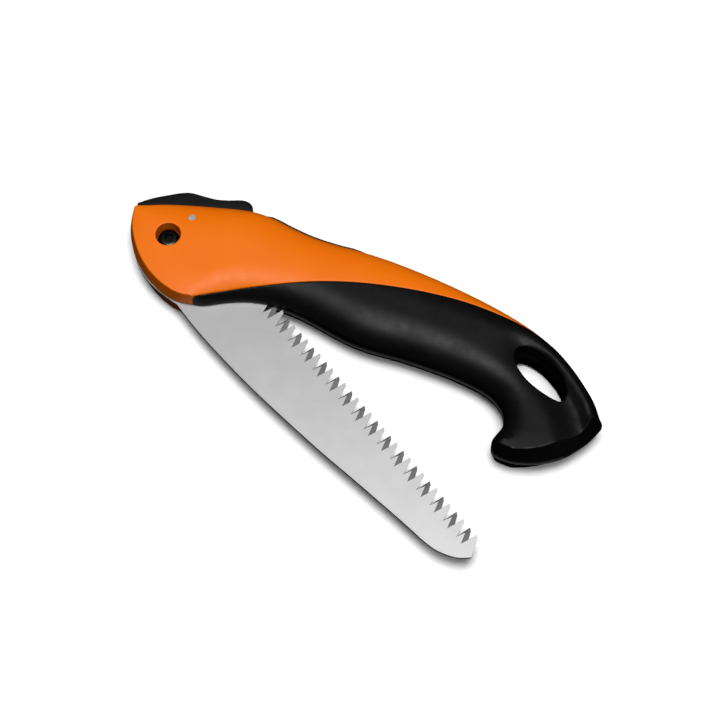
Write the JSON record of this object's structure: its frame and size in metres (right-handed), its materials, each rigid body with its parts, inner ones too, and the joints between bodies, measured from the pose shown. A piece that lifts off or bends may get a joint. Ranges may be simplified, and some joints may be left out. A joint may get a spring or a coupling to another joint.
{
  "type": "folding pruning saw",
  "caption": "Folding pruning saw with a curved hooked handle, a pivoting toothed blade and a thumb lock lever on the head.",
  "frame": {"origin": "on the blade pivot's axis, in the plane that the handle's right side rests on", "axes": "+X from the pivot to the butt, +Y to the back of the handle and the lock lever, +Z out of the left side, upwards as it lies"},
  "size_m": [0.2357, 0.12, 0.024],
  "materials": {
    "blade_steel": "fine ground, bright bevels",
    "orange_plastic": "satin moulded",
    "black_grip": "soft satin, fine grain",
    "black_frame": "moulded",
    "black_lever": "moulded, ribbed at the thumb end",
    "black_steel": "black oxide",
    "zinc_steel": "zinc plated",
    "spring_steel": "tempered",
    "bronze": "turned"
  },
  "bodies": {
    "handle": {"left_cover": "orange_plastic", "right_cover": "orange_plastic", "left_grip": "black_grip", "right_grip": "black_grip", "back_frame": "black_frame", "pivot_bolt": "black_steel", "bolt_washer": "black_steel", "pivot_bush": "zinc_steel", "left_thrust_washer": "bronze", "right_thrust_washer": "bronze", "spring_washer": "zinc_steel", "pivot_nut": "zinc_steel", "lever_pin": "zinc_steel", "lever_spring": "spring_steel", "frame_dowels": "zinc_steel", "screw_inserts": "bronze", "body_screws": "black_steel"},
    "blade": {"blade": "blade_steel"},
    "lever": {"lock_lever": "black_lever", "lock_pawl": "spring_steel"}
  },
  "joints": [
    {"name": "blade_pivot", "type": "hinge", "parent": "handle", "child": "blade", "pos_m": [0, 0, 0.012], "axis": [0, 0, 1], "range_deg": [-125.7, 18.6]},
    {"name": "lever_press", "type": "hinge", "parent": "handle", "child": "lever", "pos_m": [0.006, 0.0124, 0.012], "axis": [0, 0, -1], "range_deg": [0, 9], "stiffness_Nm_per_rad": 0.8, "springref_deg": -8.59, "deforming": ["lever_spring"]}
  ]
}
